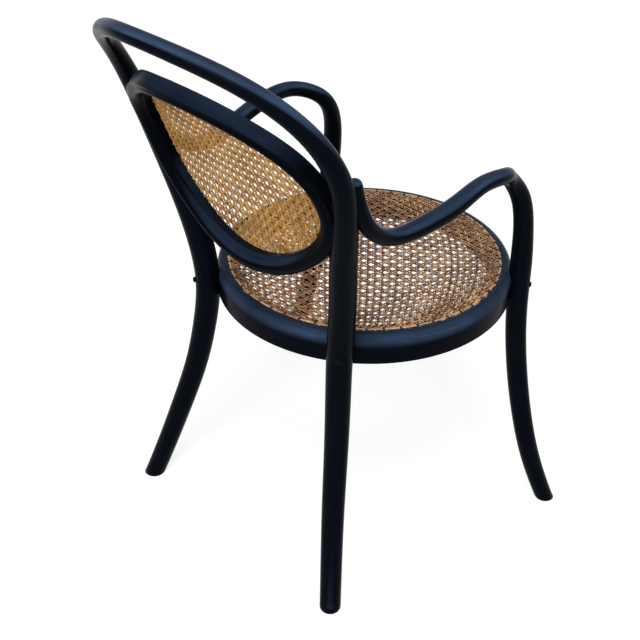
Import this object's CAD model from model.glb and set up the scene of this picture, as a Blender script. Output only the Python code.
import math
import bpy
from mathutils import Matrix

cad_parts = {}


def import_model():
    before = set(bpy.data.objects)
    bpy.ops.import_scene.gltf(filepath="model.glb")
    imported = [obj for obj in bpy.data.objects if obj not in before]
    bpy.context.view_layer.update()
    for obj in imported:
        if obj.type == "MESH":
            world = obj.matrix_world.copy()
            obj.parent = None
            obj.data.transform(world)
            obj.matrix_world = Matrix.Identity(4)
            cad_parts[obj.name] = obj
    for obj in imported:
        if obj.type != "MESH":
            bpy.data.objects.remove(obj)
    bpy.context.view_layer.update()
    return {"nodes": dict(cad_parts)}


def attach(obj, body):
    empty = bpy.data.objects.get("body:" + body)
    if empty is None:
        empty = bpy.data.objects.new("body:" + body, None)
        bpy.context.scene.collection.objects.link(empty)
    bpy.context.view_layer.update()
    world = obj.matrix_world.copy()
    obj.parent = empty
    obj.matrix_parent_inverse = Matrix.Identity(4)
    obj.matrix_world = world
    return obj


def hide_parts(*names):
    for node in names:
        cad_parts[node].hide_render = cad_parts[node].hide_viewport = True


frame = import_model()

from types import SimpleNamespace

import bpy
import numpy as np
from mathutils import Matrix

# Bentwood armchair, in metres, front towards -Y, left towards -X as seen from the front. The cane is
# woven strand by strand, and the rods are swept again with round sides, rounded feet and a grain
# that runs along them.

MM = 0.001

# Seat ring: its middle, its top, and the radii of its outer side, inner side and ledge for the cane.
SEAT_Y = -0.0985
SEAT_TOP = 0.432
RING_OUTER = 0.243
RING_INNER = 0.209
RING_SHELF = 0.226
RING_DEPTH = 0.047
CANE_THICK = 0.0015

# How far the photographed ring flares out and reaches down at its lower outer edge, past CAD's.
RING_FLARE = 0.0015
RING_SKIRT = 0.0025

# The back follows a cylinder that lies level from side to side behind it. The oval ring has a width and
# a depth, and OVAL_RIM is how far its front stands out beside the cane.
BACK_RADIUS = 0.331
BACK_CENTRE_Y = SEAT_Y + 0.573
BACK_CENTRE_Z = 0.5675
OVAL_WIDE = 0.028
OVAL_DEEP = 0.025
OVAL_RIM = 0.0016

# Rod routes in millimetres: x, y behind the seat's middle, z, diameter.
HOOP = [
    (-228.5, 308, -20, 33.5),
    (-202, 279, 80, 34.5),
    (-182, 256, 163, 36),
    (-165, 234.5, 245, 37.5),
    (-153.5, 220.5, 325, 39),
    (-148.3, 213.6, 408, 40),
    (-157, 219.5, 490, 40.5),
    (-171.5, 235.3, 573, 39.3),
    (-189.7, 254.2, 653, 36.6),
    (-202.2, 278.6, 732, 32),
    (-186.6, 319.6, 805, 27),
    (-141.6, 365.7, 857.4, 24.7),
    (-76.5, 405.5, 889.5, 23.3),
    (0, 429, 905.5, 22),
]
# The hoop's right shoulder stands out a little further than its left one, at SHOULDER in the list.
SHOULDER = 11
RIGHT_SHOULDER = (143.6, 367.6, 857.6, 24.7)
# Each arm rod is a front leg, an elbow and a tail up the hoop, given for the left side.
ARM_LEG = [
    (-325.5, -153.5, -20, 29),
    (-298.5, -136.5, 55, 31.4),
    (-280.5, -128, 111, 32.7),
    (-264.3, -125, 165, 33.4),
    (-249, -125.2, 220, 34.1),
    (-234.5, -128.3, 277, 34.5),
    (-223.5, -132, 334, 34.7),
    (-216.2, -137, 391, 35),
    (-214, -137.5, 449, 35.2),
]
# The left elbow is bent a little rounder than the right one, which also stands slightly higher.
LEFT_ELBOW = [
    (-210.2, -137.2, 508, 32.1),
    (-203, -127.1, 566.8, 30.5),
    (-202.6, -91, 610.7, 25.4),
    (-220.1, -53.7, 632, 24.6),
    (-221.6, -0.9, 638.8, 25.6),
]
RIGHT_ELBOW = [
    (-209.5, -138, 509, 33.2),
    (-202.5, -129.5, 569, 30.3),
    (-201, -97, 618.5, 26.5),
    (-218.5, -57, 637.5, 25.5),
    (-221.5, -2.5, 640, 27),
]
ARM_TAIL = [
    (-220.5, 56.5, 627, 28),
    (-212.5, 115, 614.8, 27.4),
    (-205.3, 179, 617.4, 24.6),
    (-205.5, 231, 658, 23.6),
    (-200.2, 253, 728, 22),
]
# Opening of the oval back, right half from bottom to top: x and height, in millimetres.
OVAL = [
    (0, 545),
    (60, 557.5),
    (117, 594.5),
    (154, 644.5),
    (161.5, 700),
    (141.5, 755),
    (78, 799),
    (0, 826),
]


# Shader nodes.

def new_material(name):
    mat = bpy.data.materials.new(name)
    mat.use_nodes = True
    tree = mat.node_tree
    shader = tree.nodes["Principled BSDF"]
    return mat, tree, shader


def grey(level):
    return (level, level, level)


def add(tree, kind, **values):
    """Adds a node; keywords name its properties, or its input sockets where it has no such property."""
    node = tree.nodes.new(kind)
    for key, value in values.items():
        if hasattr(node, key):
            setattr(node, key, value)
        else:
            node.inputs[key.replace("_", " ")].default_value = value
    return node


def feed(tree, socket, given):
    """Sets an input socket from another node's output, a colour or a number."""
    if isinstance(given, bpy.types.NodeSocket):
        tree.links.new(given, socket)
    elif isinstance(given, tuple):
        socket.default_value = (*given, 1.0)
    else:
        socket.default_value = given


def noise(tree, vector, scale, detail=3.0, roughness=0.55):
    node = add(tree, "ShaderNodeTexNoise", Scale=scale, Detail=detail, Roughness=roughness)
    feed(tree, node.inputs["Vector"], vector)
    return node.outputs["Fac"]


def ramp(tree, value, stops):
    """Maps a value through colour stops given as (position, (r, g, b))."""
    node = tree.nodes.new("ShaderNodeValToRGB")
    points = node.color_ramp.elements
    while len(points) < len(stops):
        points.new(0.5)
    for point, (position, colour) in zip(points, stops):
        point.position = position
        point.color = (*colour, 1.0)
    feed(tree, node.inputs["Fac"], value)
    return node.outputs["Color"]


def spread(tree, value, between, to):
    """Maps a value that lies between two numbers to the same place between two others, and no further."""
    node = tree.nodes.new("ShaderNodeMapRange")
    for socket, number in zip(("From Min", "From Max", "To Min", "To Max"), between + to):
        node.inputs[socket].default_value = number
    feed(tree, node.inputs["Value"], value)
    return node.outputs["Result"]


def mix_colour(tree, factor, a, b):
    node = tree.nodes.new("ShaderNodeMix")
    node.data_type = "RGBA"
    # a mix node's sockets share their names, so the colour ones are taken by their places
    for place, given in ((0, factor), (6, a), (7, b)):
        feed(tree, node.inputs[place], given)
    return node.outputs[2]


def combine(tree, operation, *values, clamp=False):
    """Adds or multiplies values, two at a time."""
    result = values[0]
    for value in values[1:]:
        node = add(tree, "ShaderNodeMath", operation=operation, use_clamp=clamp)
        feed(tree, node.inputs[0], result)
        feed(tree, node.inputs[1], value)
        result = node.outputs[0]
    return result


def bump(tree, height, distance, strength, below=None):
    node = add(tree, "ShaderNodeBump", Strength=strength, Distance=distance)
    feed(tree, node.inputs["Height"], height)
    if below:
        feed(tree, node.inputs["Normal"], below)
    return node.outputs["Normal"]


def object_place(tree):
    """Object coordinates."""
    return tree.nodes.new("ShaderNodeTexCoord").outputs["Object"]


def grain_place(tree, across, along):
    """The map that runs along a rod or strand, stretched across and along it."""
    source = add(tree, "ShaderNodeUVMap", uv_map="grain").outputs["UV"]
    stretch = tree.nodes.new("ShaderNodeMapping")
    stretch.inputs["Scale"].default_value = (across, along, 1)
    feed(tree, stretch.inputs["Vector"], source)
    return stretch.outputs["Vector"]


def attribute(tree, name):
    return add(tree, "ShaderNodeAttribute", attribute_name=name).outputs["Fac"]


# Materials.

DEEP_BLACK = (0.0011, 0.0014, 0.0022)
GRAIN_BLACK = (0.0024, 0.0034, 0.0062)
CLOUD_BLACK = (0.0018, 0.0028, 0.0058)
NAVY_BLOOM = (0.036, 0.063, 0.118)
RUBBED_WOOD = (0.060, 0.050, 0.042)
NAVY_TINT = (0.48, 0.70, 1.0)
CANE_GLOSS = 0.12
METAL_CLOUD = 0.55


def navy_bloom(tree, here, grain, strength, steep):
    """How much bloom a point has: most where its face looks half up, in patches, and broken by the grain."""
    facing = add(tree, "ShaderNodeSeparateXYZ")
    feed(tree, facing.inputs[0], tree.nodes.new("ShaderNodeNewGeometry").outputs["Normal"])
    up = ramp(tree, facing.outputs["Z"], [
        (steep, grey(0)),
        (steep + 0.16, grey(0.72)),
        (steep + 0.30, grey(1)),
        (0.82, grey(0.74)),
        (1.0, grey(0.48)),
    ])
    patch = spread(tree, noise(tree, here, scale=9.0), between=(0.30, 0.70), to=(0.50, 1.15))
    streak = spread(tree, grain, between=(0.30, 0.70), to=(0.60, 1.10))
    return combine(tree, "MULTIPLY", up, patch, streak, strength)


def small_rubs(tree, here):
    """Specks where the colour has gone thin, in some places only."""
    specks = spread(tree, noise(tree, here, scale=310.0, detail=2.0), between=(0.70, 0.78), to=(0.0, 1.0))
    places = spread(tree, noise(tree, here, scale=11.0, detail=2.0), between=(0.52, 0.68), to=(0.0, 0.55))
    return combine(tree, "MULTIPLY", specks, places)


def black_lacquer(name, strength, steep, gloss):
    """Old black lacquer over beech: near black, with a navy bloom of dust and wear on the faces that look up.

    strength is how much bloom there is, steep the height of a face's normal where the bloom starts,
    and gloss the level of its highlights.
    """
    mat, tree, shader = new_material(name)
    here = object_place(tree)
    grain = noise(tree, grain_place(tree, 420, 14), scale=1.0, detail=4.0, roughness=0.6)
    cloud = spread(tree, noise(tree, here, scale=26.0), between=(0.35, 0.75), to=(0.0, 0.7))
    base = ramp(tree, grain, [(0.30, DEEP_BLACK), (0.72, GRAIN_BLACK)])
    base = mix_colour(tree, cloud, base, CLOUD_BLACK)
    base = mix_colour(tree, navy_bloom(tree, here, grain, strength, steep), base, NAVY_BLOOM)
    base = mix_colour(tree, small_rubs(tree, here), base, RUBBED_WOOD)
    feed(tree, shader.inputs["Base Color"], base)
    worn = noise(tree, grain_place(tree, 160, 9), scale=1.0)
    feed(tree, shader.inputs["Roughness"], spread(tree, worn, between=(0.3, 0.75), to=(0.22, 0.36)))
    feed(tree, shader.inputs["Specular IOR Level"], gloss)
    feed(tree, shader.inputs["Specular Tint"], NAVY_TINT)
    fine = bump(tree, grain, distance=0.00025, strength=0.35)
    dents = bump(tree, noise(tree, here, scale=60.0), distance=0.0009, strength=0.35, below=fine)
    feed(tree, shader.inputs["Normal"], dents)
    return mat


def cane(name, dark, middle, pale, grime, roughness, mottle=0.3):
    """Split cane: a tone of its own for each strand, fine fibres, and dirt in the low places."""
    mat, tree, shader = new_material(name)
    here = object_place(tree)
    fibre = noise(tree, grain_place(tree, 2600, 60), scale=1.0, detail=2.0)
    fibres = spread(tree, fibre, between=(0.3, 0.7), to=(0.0, 0.42))
    low_places = spread(tree, attribute(tree, "edge"), between=(0.32, 1.0), to=(0.0, 0.92))
    stain = noise(tree, here, scale=16.0, detail=4.0, roughness=0.6)
    blotch = noise(tree, here, scale=130.0, detail=2.0)
    freckle = noise(tree, here, scale=420.0, detail=2.0)
    body = ramp(tree, attribute(tree, "tone"), [(0.0, dark), (0.5, middle), (1.0, pale)])
    body = mix_colour(tree, low_places, body, grime)
    body = mix_colour(tree, fibres, body, dark)
    body = mix_colour(tree, spread(tree, stain, between=(0.42, 0.72), to=(0.0, 0.75)), body, grime)
    body = mix_colour(tree, spread(tree, blotch, between=(0.48, 0.66), to=(0.0, mottle)), body, grime)
    body = mix_colour(tree, spread(tree, freckle, between=(0.62, 0.74), to=(0.0, 0.5)), body, grime)
    feed(tree, shader.inputs["Base Color"], body)
    dull = spread(tree, fibre, between=(0.3, 0.7), to=(roughness - 0.08, roughness + 0.14))
    feed(tree, shader.inputs["Roughness"], dull)
    feed(tree, shader.inputs["Specular IOR Level"], CANE_GLOSS)
    feed(tree, shader.inputs["Normal"], bump(tree, fibre, distance=0.00012, strength=0.6))
    return mat


def metal(name, colour, metallic, specular, rough):
    """Dull metal or painted metal, clouded, with a finely pitted surface."""
    mat, tree, shader = new_material(name)
    here = object_place(tree)
    cloud = noise(tree, here, scale=180.0)
    clouded = spread(tree, cloud, between=(0.35, 0.7), to=(0.0, 0.8))
    darker = tuple(METAL_CLOUD * c for c in colour)
    feed(tree, shader.inputs["Base Color"], mix_colour(tree, clouded, colour, darker))
    dull = spread(tree, cloud, between=(0.3, 0.7), to=(rough - 0.1, rough + 0.15))
    feed(tree, shader.inputs["Roughness"], dull)
    feed(tree, shader.inputs["Metallic"], metallic)
    feed(tree, shader.inputs["Specular IOR Level"], specular)
    pits = noise(tree, here, scale=900.0, detail=2.0)
    feed(tree, shader.inputs["Normal"], bump(tree, pits, distance=0.0001, strength=0.4))
    return mat


LACQUER = black_lacquer("black_lacquer", strength=0.90, steep=0.34, gloss=0.022)
RING_LACQUER = black_lacquer("ring_black_lacquer", strength=0.85, steep=0.07, gloss=0.022)
OVAL_LACQUER = black_lacquer("oval_black_lacquer", strength=0.40, steep=0.38, gloss=0.008)
SEAT_CANE = cane("seat_cane_strands", dark=(0.140, 0.055, 0.024), middle=(0.610, 0.300, 0.130),
                 pale=(0.990, 0.700, 0.420), grime=(0.042, 0.017, 0.010), roughness=0.50, mottle=0.75)
BACK_CANE = cane("back_cane_strands", dark=(0.520, 0.230, 0.038), middle=(0.970, 0.580, 0.150),
                 pale=(0.995, 0.830, 0.430), grime=(0.240, 0.098, 0.022), roughness=0.46)
BINDER = cane("binder_strip", dark=(0.300, 0.170, 0.085), middle=(0.620, 0.400, 0.220),
              pale=(0.820, 0.600, 0.380), grime=(0.160, 0.085, 0.045), roughness=0.42)
TIE = cane("tie_strands", dark=(0.020, 0.012, 0.009), middle=(0.055, 0.032, 0.020),
           pale=(0.120, 0.075, 0.045), grime=(0.018, 0.012, 0.009), roughness=0.55)
BLACK_STEEL = metal("black_steel", (0.0030, 0.0040, 0.0065), metallic=0.0, specular=0.02, rough=0.45)
STEEL = metal("dull_steel", (0.42, 0.42, 0.43), metallic=1.0, specular=0.5, rough=0.42)


# Meshes and curves.

def mesh_piece(name, verts, faces, material, grain=None, tone=None, edge=None):
    """Makes a mesh that rides on the chair. grain holds a (u, v), tone and edge a number for each vertex."""
    me = bpy.data.meshes.new(name)
    me.from_pydata([tuple(v) for v in verts], [], [tuple(f) for f in faces])
    me.validate()
    me.polygons.foreach_set("use_smooth", [True] * len(me.polygons))
    corners = np.zeros(len(me.loops), np.int32)
    me.loops.foreach_get("vertex_index", corners)
    if grain is not None:
        layer = me.uv_layers.new(name="grain")
        layer.data.foreach_set("uv", np.asarray(grain, np.float32)[corners].ravel())
    for label, values in (("tone", tone), ("edge", edge)):
        if values is not None:
            layer = me.attributes.new(label, "FLOAT", "POINT")
            layer.data.foreach_set("value", np.asarray(values, np.float32))
    me.materials.append(material)
    piece = bpy.data.objects.new(name, me)
    bpy.context.scene.collection.objects.link(piece)
    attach(piece, "root")
    return piece


def grid_faces(rows, columns, closed_rows=False, first=0):
    """Quads over a grid of vertices whose columns wrap round."""
    faces = []
    for r in range(rows if closed_rows else rows - 1):
        a = first + r * columns
        b = first + (r + 1) % rows * columns
        for c in range(columns):
            d = (c + 1) % columns
            faces.append((a + c, a + d, b + d, b + c))
    return faces


def grain_map(across, along):
    """A (u, v) for each vertex of a grid, from where its columns and rows lie."""
    return np.stack(np.meshgrid(across, along), -1).reshape(-1, 2)


def unit(v):
    return v / np.linalg.norm(v, axis=-1, keepdims=True)


def run_of(points):
    """How far each point is from the first one, along the points."""
    steps = np.linalg.norm(np.diff(points, axis=0), axis=1)
    return np.concatenate([[0], np.cumsum(steps)])


def spaced(points, run, where):
    """Points read off at given distances."""
    return np.stack([np.interp(where, run, column) for column in points.T], 1)


def circle(radius, count):
    turn = np.linspace(0, 2 * math.pi, count, endpoint=False)
    return np.stack([np.cos(turn), np.sin(turn)], 1) * radius


def ways_round(loop):
    """Directions along a closed flat loop that runs anticlockwise, and straight out of it."""
    tangent = unit(np.roll(loop, -1, 0) - np.roll(loop, 1, 0))
    return tangent, np.stack([tangent[:, 1], -tangent[:, 0]], 1)


def curve_point(start, control, stop, s):
    """A point of the curve that leaves start and meets stop heading to and from control."""
    return (1 - s) ** 2 * start + 2 * s * (1 - s) * control + s * s * stop


FINE_SAMPLES = 4000


def spline_through(points, step):
    """Evenly spaced points on a smooth curve through the given ones: a natural cubic spline."""
    p = np.asarray(points, float)
    t = run_of(p[:, :3])
    n = len(p)
    system = np.zeros((n, n))
    right = np.zeros((n, p.shape[1]))
    system[0, 0] = system[-1, -1] = 1
    for i in range(1, n - 1):
        a, b = t[i] - t[i - 1], t[i + 1] - t[i]
        system[i, i - 1:i + 2] = a, 2 * (a + b), b
        right[i] = 6 * ((p[i + 1] - p[i]) / b - (p[i] - p[i - 1]) / a)
    bend = np.linalg.solve(system, right)

    def at(x):
        i = np.clip(np.searchsorted(t, x) - 1, 0, n - 2)
        h = (t[i + 1] - t[i])[:, None]
        a = (t[i + 1] - x)[:, None] / h
        b = 1 - a
        curve = a * p[i] + b * p[i + 1]
        return curve + ((a ** 3 - a) * bend[i] + (b ** 3 - b) * bend[i + 1]) * h * h / 6

    fine = at(np.linspace(0, t[-1], FINE_SAMPLES))
    run = run_of(fine[:, :3])
    count = max(2, int(round(run[-1] / step)) + 1)
    return spaced(fine, run, np.linspace(0, run[-1], count))


def travelling_frames(path):
    """Tangents and two side directions that turn as little as they can along a path."""
    along = unit(np.gradient(path, axis=0))
    side = np.zeros_like(along)
    side[0] = unit(np.cross(along[0], (1.0, 0.0, 0.0)))
    for i in range(1, len(path)):
        side[i] = unit(side[i - 1] - along[i] * np.dot(side[i - 1], along[i]))
    return along, side, np.cross(along, side)


# Bent rods. A ring of ROUND points goes round the rod every ROD_STEP. Rings that would come lower than
# FOOT_CUT give way to the foot, which has a bevel, and an arm's tail is rounded off over TIP. TIP_PARTS
# is a little more than the steps between the tip's rings, so that the last one is small but no point.

ROUND = 36
ROD_STEP = 0.006
FOOT_CUT = 0.004
FOOT_BEVEL = 0.0012
FOOT_NARROWED = 0.95
FOOT_HALFWAY = 0.55
TIP = 0.010
TIP_CLEAR = 0.001
TIP_RINGS = 9
TIP_PARTS = 8.3
TIP_FULLNESS = 2.2


def foot_rings(ring, way):
    """Rings that carry a rod's ring down its way to the floor, with a small bevelled edge."""
    sole = ring - way * (ring[:, 2] / way[2])[:, None]
    middle = sole.mean(0)
    half_down = ring + (sole - ring) * FOOT_HALFWAY
    return [half_down, sole + (0, 0, FOOT_BEVEL), middle + (sole - middle) * FOOT_NARROWED]


def tip_rings(end, way, spokes):
    """Rings that shrink towards a rod's end, so that it is rounded off."""
    rings = []
    for k in range(TIP_RINGS):
        s = k / TIP_PARTS
        rings.append(end - way * TIP * (1 - s) + spokes * (1 - s ** TIP_FULLNESS) ** 0.5)
    return rings


def rod(name, route, node, both_ends_on_floor):
    """A round rod along a route of (x, y, z, diameter), sawn level at the floor."""
    samples = spline_through(np.asarray(route, float) * MM, ROD_STEP)
    path = samples[:, :3] + (0, SEAT_Y, 0)
    radius = samples[:, 3] / 2
    along, side, other = travelling_frames(path)
    turn = np.linspace(0, 2 * math.pi, ROUND, endpoint=False)
    spokes = np.cos(turn)[None, :, None] * side[:, None] + np.sin(turn)[None, :, None] * other[:, None]
    spokes = spokes * radius[:, None, None]
    rings = path[:, None] + spokes
    above = np.where(rings[:, :, 2].min(1) > FOOT_CUT)[0]
    first, last = above[0], above[-1]
    kept = np.arange(first, last + 1)
    if both_ends_on_floor:
        ending = foot_rings(rings[last], along[last])
    else:
        kept = kept[np.linalg.norm(path[kept] - path[last], axis=1) > TIP + TIP_CLEAR]
        ending = tip_rings(path[last], along[last], spokes[last])
    stack = np.array(foot_rings(rings[first], along[first])[::-1] + list(rings[kept]) + ending)
    count = len(stack)
    verts = list(stack.reshape(-1, 3)) + [stack[0].mean(0), stack[-1].mean(0)]
    faces = grid_faces(count, ROUND)
    low, high = count * ROUND, count * ROUND + 1
    for c in range(ROUND):
        d = (c + 1) % ROUND
        faces.append((low, d, c))
        faces.append((high, (count - 1) * ROUND + c, (count - 1) * ROUND + d))
    length = run_of(stack.mean(1))
    around = np.abs(turn - math.pi) * radius.mean()
    grain = np.vstack([grain_map(around, length), [[0, 0], [0, length[-1]]]])
    piece = mesh_piece(name, verts, faces, LACQUER, grain)
    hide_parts(node)


def across_middle(point):
    """The same point on the chair's other side."""
    return (-point[0],) + point[1:]


def whole_hoop():
    """The left half of the hoop, then the right one with its own shoulder."""
    route = HOOP + [across_middle(point) for point in HOOP[-2::-1]]
    route[-1 - SHOULDER] = RIGHT_SHOULDER
    return route


rod("hoop_rod", whole_hoop(), "back_hoop", True)
rod("arm_rod_left", ARM_LEG + LEFT_ELBOW + ARM_TAIL, "arm_leg_left", False)
rod("arm_rod_right", [across_middle(point) for point in ARM_LEG + RIGHT_ELBOW + ARM_TAIL],
    "arm_leg_right", False)


# Rings that are swept from one section.

RING_PARTS = 180
WIDE_ROUNDING = 0.004


def rounded(corners):
    """A closed outline of (corner, rounding), where a rounding is a length, or one before and one after."""
    points = []
    for i, (corner, rounding) in enumerate(corners):
        before, after = rounding if isinstance(rounding, tuple) else (rounding, rounding)
        steps = 12 if after > WIDE_ROUNDING else 4
        p = np.array(corner, float)
        a = unit(np.array(corners[i - 1][0], float) - p)
        b = unit(np.array(corners[(i + 1) % len(corners)][0], float) - p)
        for k in range(steps + 1):
            points.append(curve_point(p + a * before, p, p + b * after, k / steps))
    return np.array(points)


def ring_of_sections(name, sections, material, node, lengths):
    """A closed ring through its sections, whose grain runs round by the given lengths."""
    rows, columns = sections.shape[:2]
    grain = grain_map(run_of(sections[0]), lengths)
    faces = grid_faces(rows, columns, True)
    piece = mesh_piece(name, sections.reshape(-1, 3), faces, material, grain)
    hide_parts(node)


def seat_ring():
    """The seat ring, turned from one profile: ledge for the cane, flat top, round shoulders outside."""
    low = SEAT_TOP - RING_DEPTH
    ledge = SEAT_TOP - CANE_THICK
    profile = rounded([
        ((RING_INNER, low), 0.002),
        ((RING_INNER, ledge), 0.0006),
        ((RING_SHELF, ledge), 0.0002),
        ((RING_SHELF, SEAT_TOP), 0.0004),
        ((RING_OUTER, SEAT_TOP), (0.0145, 0.024)),
        ((RING_OUTER + RING_FLARE, low - RING_SKIRT), 0.0045),
    ])
    turn = np.linspace(0, 2 * math.pi, RING_PARTS, endpoint=False)
    sections = np.zeros((RING_PARTS, len(profile), 3))
    sections[:, :, 0] = np.cos(turn)[:, None] * profile[None, :, 0]
    sections[:, :, 1] = np.sin(turn)[:, None] * profile[None, :, 0] + SEAT_Y
    sections[:, :, 2] = profile[None, :, 1]
    ring_of_sections("seat_hoop", sections, RING_LACQUER, "seat_ring", turn * RING_OUTER)


seat_ring()


# Bowed back.

OVAL_POINTS = 200
LOOP_STEP = 0.001
LOOP_SKIP = 200
REAR_POINTS = 12


def on_back(x, arc, out=0.0):
    """A point of the bowed back: x, distance up the bow from its lowest line, distance to the rear."""
    lean = np.asarray(arc) / BACK_RADIUS
    reach = BACK_RADIUS - np.asarray(out)
    return np.stack([np.broadcast_to(x, lean.shape), BACK_CENTRE_Y - reach * np.cos(lean),
                     BACK_CENTRE_Z + reach * np.sin(lean)], -1)


def arc_at(z):
    return BACK_RADIUS * np.arcsin((np.asarray(z) - BACK_CENTRE_Z) / BACK_RADIUS)


def closed_spline(points, count):
    """Evenly spaced points on a closed smooth curve, and how far round each one is.

    The curve is drawn past its start at both ends, and one turn of it is kept.
    """
    p = np.asarray(points, float)
    dense = spline_through(np.vstack([p[-4:], p, p[:5]]), LOOP_STEP)
    start = np.argmin(np.linalg.norm(dense[:len(dense) // 2] - p[0], axis=1))
    well_past = start + LOOP_SKIP
    stop = well_past + np.argmin(np.linalg.norm(dense[well_past:] - p[0], axis=1))
    loop = dense[start:stop + 1]
    run = run_of(loop)
    where = np.linspace(0, run[-1], count, endpoint=False)
    return spaced(loop, run, where), where


def oval_opening():
    """The opening's edge, unrolled flat: x and distance up the bow, and how far round each point is."""
    whole = OVAL + [(-x, z) for x, z in OVAL[-2:0:-1]]
    unrolled = [(x * MM, float(arc_at(z * MM)), 0.0) for x, z in whole]
    loop, run = closed_spline(unrolled, OVAL_POINTS)
    return loop[:, :2], run


OVAL_FLAT, OVAL_RUN = oval_opening()


def oval_grown(by):
    """The opening's edge moved outwards, still unrolled flat."""
    return OVAL_FLAT + ways_round(OVAL_FLAT)[1] * by


def oval_ring():
    """The oval ring, swept round the opening. Its front has a raised rim outside the cane."""
    section = list(rounded([
        ((0, 0.58 * OVAL_DEEP), 0.0018),
        ((0, 0), 0.001),
        ((0.0138, 0), 0.0003),
        ((0.0148, -OVAL_RIM), 0.0006),
        ((OVAL_WIDE, -OVAL_RIM), 0.0025),
        ((OVAL_WIDE, 0.8 * OVAL_DEEP), 0.002),
    ]))
    # the rear face is an arc from the outer edge back to the inner one
    start, stop = section[-1], section[0]
    crown = np.array([0.52 * OVAL_WIDE, OVAL_DEEP])
    control = 2 * crown - (start + stop) / 2
    for k in range(1, REAR_POINTS):
        section.append(curve_point(start, control, stop, k / REAR_POINTS))
    section = np.array(section)
    outward = ways_round(OVAL_FLAT)[1]
    flat = OVAL_FLAT[:, None] + outward[:, None] * section[None, :, :1]
    rear = np.broadcast_to(section[None, :, 1], flat.shape[:2])
    sections = on_back(flat[:, :, 0], flat[:, :, 1], rear)
    ring_of_sections("oval_hoop", sections, OVAL_LACQUER, "oval_ring", OVAL_RUN)


oval_ring()


# Six-way caning. PAIR is half the space between the middles of the two strands of a pair, LIFT and
# PAIR_LIFT are how far strands rise and dip, and SECTION is a strand's outline in widths and thicknesses.

PAIR = 0.0027
STRAND = 0.0031
DIAGONAL = 0.0028
THICK = 0.0012
LIFT = 0.0014
PAIR_LIFT = 0.0006
SECTION = np.array([(-0.5, -0.15), (-0.3, -0.5), (0.3, -0.5), (0.5, -0.15), (0.5, 0.1), (0.3, 0.42),
                    (0.0, 0.5), (-0.3, 0.42), (-0.5, 0.1)])
# A diagonal strand's stations within one row of the weave, and its height at each, in lifts.
WAVE_AT = np.array([0.0, 0.11, 0.19, 0.25, 0.31, 0.39, 0.5, 0.61, 0.69, 0.75, 0.81, 0.89])
WAVE = np.array([1.0, 1.0, 0.7, 0.0, -0.7, -1.0, -1.0, -1.0, -0.7, 0.0, 0.7, 1.0])
# Lengths along a strand, counted in rows: the step that finds its ends, the gap kept from them, and
# the look ahead that gives its direction. A strand with under SHORTEST steps inside is left out.
SEARCH_STEP = 0.05
END_GAP = 0.06
AHEAD = 0.02
SHORTEST = 8
# Uneven hand work: how far a strand, and each point of it, strays to the side, and how widths vary.
STRAND_STRAY = 0.0002
POINT_STRAY = 0.00008
WIDTH_VARIES = 0.05
WIDTH_LIMITS = (0.88, 1.12)
DIP_DIRT = 0.7
# Each strand has its grain from a place of its own: up to this far along, and this far to the side.
GRAIN_ALONG = 10
GRAIN_ASIDE = 0.01


def depth_inside(outline, spots):
    """How far points lie inside a convex outline that runs anticlockwise."""
    edge = np.roll(outline, -1, 0) - outline
    normal = unit(np.stack([edge[:, 1], -edge[:, 0]], 1))
    return np.min([(point - spots) @ way for point, way in zip(outline, normal)], axis=0)


def strand_set(name, sheet, lines, width, rng):
    """One set of strands. Each line gives its start, direction, stations, heights and step to the side."""
    verts, faces, grain, tones, dips = [], [], [], [], []
    size = len(SECTION)
    for number, (origin, direction, stations, heights, aside) in enumerate(lines):

        def on_line(where):
            return sheet.to_plane(*(origin + direction * where[:, None]).T)

        dense = np.arange(stations[0], stations[-1], SEARCH_STEP)
        inside = depth_inside(sheet.outline, on_line(dense)) > 0
        if inside.sum() < SHORTEST:
            continue
        first_in, last_in = dense[inside][0], dense[inside][-1]
        within = (stations > first_in + END_GAP) & (stations < last_in - END_GAP)
        at = np.concatenate([[first_in], stations[within], [last_in]])
        lift = np.concatenate([[0], heights[within], [0]])
        dips.append(np.clip(-lift * sheet.facing / LIFT, 0, 1) * DIP_DIRT)
        middle = on_line(at)
        way = unit(on_line(at + AHEAD) - middle)
        across = np.stack([-way[:, 1], way[:, 0]], 1)
        drift = rng.normal(0, STRAND_STRAY) + rng.normal(0, POINT_STRAY, len(at))
        middle = middle + across * (aside + drift)[:, None]
        first = len(verts)
        wide = width * float(np.clip(rng.normal(1.0, WIDTH_VARIES), *WIDTH_LIMITS))
        flat = middle[:, None] + across[:, None] * (SECTION[None, :, 0] * wide)[..., None]
        height = lift[:, None] + SECTION[None, :, 1] * THICK
        verts.extend(sheet.to_space(flat[..., 0], flat[..., 1], height).reshape(-1, 3))
        faces.extend(grid_faces(len(at), size, False, first))
        faces.append(tuple(first + k for k in range(size))[::-1])
        faces.append(tuple(first + (len(at) - 1) * size + k for k in range(size)))
        run = run_of(middle) + rng.uniform(0, GRAIN_ALONG)
        grain.append(grain_map(number * GRAIN_ASIDE + SECTION[:, 0] * wide, run))
        tones.extend([sheet.tone(rng)] * (len(at) * size))
    # strands are dirtier at their edges and where they dip under others
    edge = np.resize(np.abs(SECTION[:, 0]) * 2, len(verts)) + np.repeat(np.concatenate(dips), size)
    piece = mesh_piece(name, verts, faces, sheet.material, np.vstack(grain), tones, edge)
    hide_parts(sheet.node)


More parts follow.
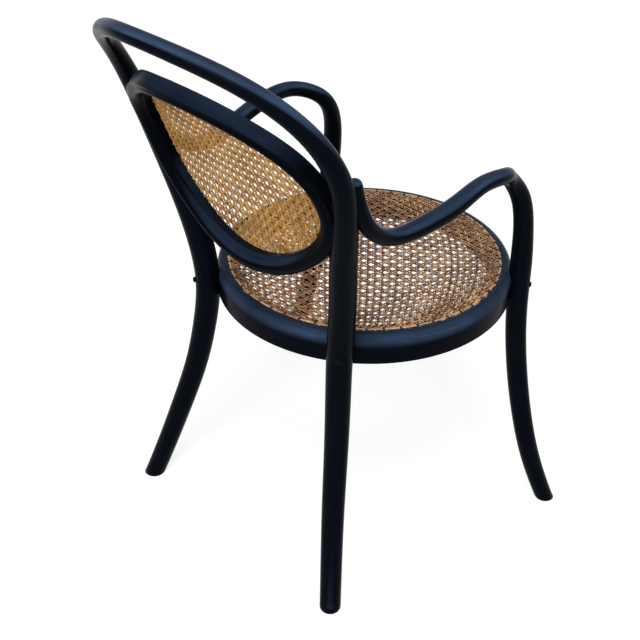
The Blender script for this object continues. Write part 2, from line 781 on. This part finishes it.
def weave(prefix, sheet, reach, split, seed):
    """Six-way caning over a sheet: pairs up and across, and a single strand on each diagonal.

    Rows are counted along both ways of the weave, up to reach from the middle, and the sheet's
    to_plane places them. split is half the space between the strands of a pair, in rows.
    """
    rng = np.random.default_rng(seed)
    rows = np.arange(-reach, reach + 1)
    stations = np.sort(np.concatenate([rows - split, rows + split, rows + 0.5]))
    signs = np.tile([1.0, -1.0, 0.0], len(rows)) * PAIR_LIFT
    for label, along, flip in (("up", np.array([0.0, 1.0]), 1), ("across", np.array([1.0, 0.0]), -1)):
        sideways = 1 - along
        lines = [(sideways * k, along, stations, signs * which * flip, side)
                 for k in rows for which, side in ((1, -PAIR), (-1, PAIR))]
        strand_set("%s_%s" % (prefix, label), sheet, lines, STRAND, rng)
    stations = (rows[:, None] + WAVE_AT[None, :]).ravel()
    for label, slope in (("rising", 1), ("falling", -1)):
        along = np.array([1.0, slope])
        heights = np.tile(WAVE, len(rows)) * LIFT * slope
        lines = [(np.array([0.0, -slope * (n + 0.5)]), along, stations, heights, 0.0)
                 for n in range(-2 * reach, 2 * reach + 1)]
        strand_set("%s_%s" % (prefix, label), sheet, lines, DIAGONAL, rng)


# Edges of the cane. The seat's are radii and the back's lie outside the opening: the middle of the
# binder, the weave's own edge, and for the back the edge of the part that hangs.

BINDER_MID = RING_SHELF - 0.0033
SEAT_WEAVE_EDGE = BINDER_MID + 0.001
SEAT_EDGE_POINTS = 240
BACK_BINDER_MID = 0.010
BACK_WEAVE_EDGE = 0.0095
BACK_HANG_EDGE = 0.006


# Seat cane. Its rows lie as if they went through even holes round the ring, so they close up towards
# its edge. Their spacing at the middle, the half width that they close up to and their shift, in rows,
# follow the weave in the photograph. LAST_ANGLE keeps rows past the edge from coming back.

SEAT_ROWS_X = (0.016775, 0.2258, -0.39)
SEAT_ROWS_Y = (0.01662, 0.2713, 0.376)
SEAT_TURN = 0.056
SEAT_SAG = 0.0024
SAG_RADIUS = 0.222
LAST_ANGLE = 1.5


def closing_rows(number, spacing, half, shift):
    """Where rows lie whose spacing closes up towards both edges."""
    return half * np.sin(np.clip(spacing * (number + shift) / half, -LAST_ANGLE, LAST_ANGLE))


def seat_plane(u, v):
    """Rows of the seat to x and y: packed closer towards the edge, and the whole weave turned a little."""
    x = closing_rows(u, *SEAT_ROWS_X)
    y = closing_rows(v, *SEAT_ROWS_Y)
    c, s = math.cos(SEAT_TURN), math.sin(SEAT_TURN)
    return np.stack([x * c + y * s, y * c - x * s], -1)


def seat_space(u, v, w):
    """The seat's cane lies on its ledge and sinks a little towards its middle."""
    sag = SEAT_SAG * np.clip(1 - (u * u + v * v) / SAG_RADIUS ** 2, 0, 1)
    return np.stack([u, v + SEAT_Y, SEAT_TOP - CANE_THICK / 2 - sag + w], -1)


PALE_TONE = 0.95
PALE_SHARE = 0.08


def seat_tone(rng):
    """Tones about the middle, with a few strands pale."""
    return PALE_TONE if rng.random() < PALE_SHARE else float(np.clip(rng.normal(0.50, 0.30), 0, 1))


# Back cane. Its rows are even, and their spacings, shifts in rows and slants follow the photograph.

BACK_MID = 0.13706
BACK_ROW_X = 0.014168
BACK_ROW_Y = 0.016174
BACK_SHIFT_X = 0.234
BACK_SHIFT_Y = -0.608
UPRIGHT_SLANT = 0.02
LEVEL_SLANT = 0.027
BACK_SLACK = 0.0125
BACK_CANE_OUT = -0.0011


def back_plane(u, v):
    """Rows of the back to x and distance up the bow."""
    x = BACK_ROW_X * (u + BACK_SHIFT_X)
    y = BACK_ROW_Y * (v + BACK_SHIFT_Y)
    return np.stack([x + UPRIGHT_SLANT * y, BACK_MID + y + LEVEL_SLANT * x], -1)


def back_limit():
    """Directions from the oval's middle, in order, and how far the hanging cane reaches in each."""
    edge = oval_grown(BACK_HANG_EDGE) - (0, BACK_MID)
    angle = np.arctan2(edge[:, 1], edge[:, 0])
    order = np.argsort(angle)
    return angle[order], np.hypot(*edge[order].T)


BACK_ANGLES, BACK_REACH = back_limit()


def back_space(u, v, w):
    """The back's cane hangs slack: its middle sinks to the rear, and its edge lies on the oval's front."""
    y = v - BACK_MID
    reach = np.interp(np.arctan2(y, u), BACK_ANGLES, BACK_REACH, period=2 * math.pi)
    slack = BACK_SLACK * np.clip(1 - (u * u + y * y) / reach ** 2, 0, 1)
    return on_back(u, v, slack + BACK_CANE_OUT - w)


def back_tone(rng):
    return float(np.clip(rng.normal(0.58, 0.22), 0, 1))


# facing is 1 where the top of the sheet is the side to be seen, else -1
SEAT_SHEET = SimpleNamespace(node="seat_cane", outline=circle(SEAT_WEAVE_EDGE, SEAT_EDGE_POINTS),
                             to_plane=seat_plane, to_space=seat_space, material=SEAT_CANE,
                             tone=seat_tone, facing=1)
BACK_SHEET = SimpleNamespace(node="back_cane", outline=oval_grown(BACK_WEAVE_EDGE),
                             to_plane=back_plane, to_space=back_space, material=BACK_CANE,
                             tone=back_tone, facing=-1)
weave("seat_weave", SEAT_SHEET, reach=22, split=0.157, seed=11)
weave("back_weave", BACK_SHEET, reach=14, split=0.172, seed=23)


# Binders over the edges of the cane, and the ties that hold them. A binder's section is in widths and
# thicknesses, and a tie's gives its place across the binder, in binder widths, and its height.

BINDER_WIDE = 0.0034
BINDER_SECTION = np.array([(-0.5, 0.0), (0.5, 0.0), (0.46, 0.55), (0.25, 0.95), (-0.25, 0.95), (-0.46, 0.55)])
BINDER_BASE = 0.0008
BINDER_THICK = 0.0008
BINDER_HUMP = 0.0005
TIE_SECTION = [(-0.95, 0.0), (-0.75, 0.0013), (-0.35, 0.0021), (0.35, 0.0021), (0.75, 0.0013), (0.95, 0.0)]
TIE_HALF = 0.0016
TIE_TOP = 0.0006
TIE_UNDER = 0.0002
TIE_CORNERS = 4
TIE_THINNING = 0.7
SEAT_TIES = 54
POINTS_PER_TIE = 10
BACK_TIES = 40
SEAT_RISE = 1.0
BACK_RISE = 0.4
BINDER_SEED = 5


def binder_strip(name, node, centre, to_space, ties, rise, rng):
    """Wide cane laid over the edge of the weave, humped a little between the ties that hold it."""
    count = len(centre)
    per_tie = count // ties
    outward = ways_round(centre)[1]
    across = BINDER_SECTION[:, 0] * BINDER_WIDE
    hump = np.abs(np.sin(np.arange(count) / per_tie * math.pi)) ** 0.6
    flat = centre[:, None] + outward[:, None] * across[None, :, None]
    thick = BINDER_THICK + BINDER_HUMP * hump[:, None]
    height = BINDER_BASE + BINDER_SECTION[None, :, 1] * thick * rise
    sections = to_space(flat[..., 0], flat[..., 1], height)
    tone = np.repeat(np.clip(rng.normal(0.55, 0.2, ties), 0, 1), per_tie)
    tone = np.repeat(np.resize(tone, count), len(across))
    faces = grid_faces(count, len(across), True)
    grain = grain_map(across, run_of(centre))
    piece = mesh_piece(name, sections.reshape(-1, 3), faces, BINDER, grain, tone)
    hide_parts(node)


def binder_ties(name, node, centre, to_space, ties, rise, rng):
    """Narrow cane over the binder at even places. Without a node, the ties are extra and paler."""
    tangent, outward = ways_round(centre)
    per_tie = len(centre) // ties
    spans = len(TIE_SECTION) - 1
    verts, faces, tones = [], [], []
    for i in range(0, ties * per_tie, per_tie):
        first = len(verts)
        for offset, height in TIE_SECTION:
            for way in (-1, 1):
                x, y = centre[i] + outward[i] * offset * BINDER_WIDE + tangent[i] * way * TIE_HALF
                verts.append(to_space(x, y, TIE_TOP + height * rise))
                verts.append(to_space(x, y, TIE_UNDER + height * TIE_THINNING * rise))
        for span in range(spans):
            a = first + TIE_CORNERS * span
            b = a + TIE_CORNERS
            for p, q in ((0, 2), (2, 3), (3, 1), (1, 0)):
                faces.append((a + p, b + p, b + q, a + q))
        faces.append(tuple(first + c for c in (0, 2, 3, 1)))
        faces.append(tuple(first + TIE_CORNERS * spans + c for c in (1, 3, 2, 0)))
        tones.extend([float(np.clip(rng.normal(0.4, 0.2), 0, 1))] * (len(verts) - first))
    material = TIE if node else BINDER
    piece = mesh_piece(name, verts, faces, material, np.zeros((len(verts), 2)), tones)
    if node:
        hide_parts(node)


def bind_seat():
    rng = np.random.default_rng(BINDER_SEED)
    rim = circle(BINDER_MID, SEAT_TIES * POINTS_PER_TIE)
    binder_strip("seat_edge_binder", "seat_binder", rim, seat_space, SEAT_TIES, SEAT_RISE, rng)
    binder_ties("seat_edge_ties", "seat_binder_ties", rim, seat_space, SEAT_TIES, SEAT_RISE, rng)


def bind_back():
    rng = np.random.default_rng(BINDER_SEED)
    rim = oval_grown(BACK_BINDER_MID)
    binder_strip("back_edge_binder", "back_binder", rim, back_space, BACK_TIES, BACK_RISE, rng)
    binder_ties("back_edge_ties", None, rim, back_space, BACK_TIES, BACK_RISE, rng)


bind_seat()
bind_back()


# Fasteners keep their CAD shapes and take a metal.

BLACK_FASTENERS = ("rear_leg_bolts", "front_leg_bolts", "oval_screws", "arm_screws")
STEEL_FASTENERS = ("rear_leg_washers", "front_leg_washers", "rear_leg_nuts", "front_leg_nuts")
for nodes, material in ((BLACK_FASTENERS, BLACK_STEEL), (STEEL_FASTENERS, STEEL)):
    for node in nodes:
        mesh = frame["nodes"][node].data
        mesh.materials.clear()
        mesh.materials.append(material)


# Studio.

FLOOR_SIZE = 60
FLOOR_GLOW_FROM = 0.9
FLOOR_GLOW_TO = 2.6
FLOOR_GLOW = (0.77, 0.885)
WORLD_LIGHT = 0.34
WORLD_SEEN = 1.0
# Name, place, what it is aimed at, size and power of each lamp.
LAMPS = (
    ("sky", (-0.9, 0.9, 3.3), (0, 0, 0.45), 1.3, 62),
    ("rear", (-1.2, 2.6, 2.0), (0, 0, 0.5), 1.8, 72),
)


def seen_directly(tree):
    """1 for a ray from the camera, off a glossy face or through a clear one, else 0."""
    path = tree.nodes.new("ShaderNodeLightPath")
    rays = [path.outputs[kind] for kind in ("Is Camera Ray", "Is Glossy Ray", "Is Transmission Ray")]
    return combine(tree, "ADD", *rays, clamp=True)


def floor_material():
    """Pale floor that reads white to the camera and still takes the chair's shadow."""
    mat, tree, shader = new_material("pale_floor")
    here = object_place(tree)
    cloud = noise(tree, here, scale=3.0, detail=2.0)
    feed(tree, shader.inputs["Base Color"], mix_colour(tree, cloud, grey(0.36), grey(0.38)))
    feed(tree, shader.inputs["Roughness"], 0.9)
    feed(tree, shader.inputs["Specular IOR Level"], 0.0)
    distance = add(tree, "ShaderNodeVectorMath", operation="LENGTH")
    feed(tree, distance.inputs[0], here)
    level = spread(tree, distance.outputs["Value"], between=(FLOOR_GLOW_FROM, FLOOR_GLOW_TO), to=FLOOR_GLOW)
    glow = add(tree, "ShaderNodeEmission")
    feed(tree, glow.inputs["Strength"], combine(tree, "MULTIPLY", seen_directly(tree), level))
    both = tree.nodes.new("ShaderNodeAddShader")
    feed(tree, both.inputs[0], shader.outputs[0])
    feed(tree, both.inputs[1], glow.outputs[0])
    feed(tree, tree.nodes["Material Output"].inputs["Surface"], both.outputs[0])
    return mat


def floor():
    bpy.ops.mesh.primitive_plane_add(size=FLOOR_SIZE, location=(0, 0, 0))
    ground = bpy.context.object
    ground.name = "studio_floor"
    ground.data.materials.append(floor_material())


def world():
    """White all round, with less light on the chair than the camera sees."""
    room = bpy.data.worlds.new("studio_world")
    bpy.context.scene.world = room
    room.use_nodes = True
    tree = room.node_tree
    background = tree.nodes["Background"]
    level = spread(tree, seen_directly(tree), between=(0.0, 1.0), to=(WORLD_LIGHT, WORLD_SEEN))
    feed(tree, background.inputs["Strength"], level)
    feed(tree, background.inputs["Color"], grey(1))


def stand(name, data, spot, right, up, back):
    """Puts a lamp or camera at a spot, with its right, up and back directions."""
    holder = bpy.data.objects.new(name, data)
    bpy.context.scene.collection.objects.link(holder)
    turned = np.stack([right, up, back], 1)
    holder.matrix_world = Matrix([(*row, p) for row, p in zip(turned, spot)] + [(0, 0, 0, 1)])
    return holder


def lamps():
    for name, spot, aim, size, power in LAMPS:
        lamp = bpy.data.lights.new(name, "AREA")
        lamp.size = size
        lamp.energy = power
        back = unit(np.array(spot) - np.array(aim))
        right = unit(np.cross((0, 0, 1.0), back))
        stand(name, lamp, spot, right, np.cross(back, right), back)


floor()
world()
lamps()


# The photograph's camera, with its focal length and image centre in the pixels of a square picture.

AZIMUTH = math.radians(224.3)
ELEVATION = math.radians(34.2)
ROLL = math.radians(0.6)
CAMERA_SPOT = np.array([-1.0111, 1.1427 + SEAT_Y, 1.3359])
PICTURE = 640
FOCAL = 1071.3
CENTRE_ACROSS = 318.6
CENTRE_DOWN = 318.0
SENSOR_MM = 36.0


def camera():
    """Behind the chair on its left, as seen from the front, looking down on the seat as photographed."""
    back = np.array([math.sin(AZIMUTH) * math.cos(ELEVATION), -math.cos(AZIMUTH) * math.cos(ELEVATION),
                     math.sin(ELEVATION)])
    right = unit(np.cross(-back, (0, 0, 1.0)))
    up = np.cross(right, -back)
    data = bpy.data.cameras.new("view")
    data.sensor_width = SENSOR_MM
    data.lens = FOCAL / PICTURE * SENSOR_MM
    data.shift_x = (PICTURE / 2 - CENTRE_ACROSS) / PICTURE
    data.shift_y = (CENTRE_DOWN - PICTURE / 2) / PICTURE
    rolled_right = right * math.cos(ROLL) + up * math.sin(ROLL)
    rolled_up = -right * math.sin(ROLL) + up * math.cos(ROLL)
    bpy.context.scene.camera = stand("view", data, CAMERA_SPOT, rolled_right, rolled_up, back)


camera()
bpy.context.scene.view_settings.view_transform = "Standard"
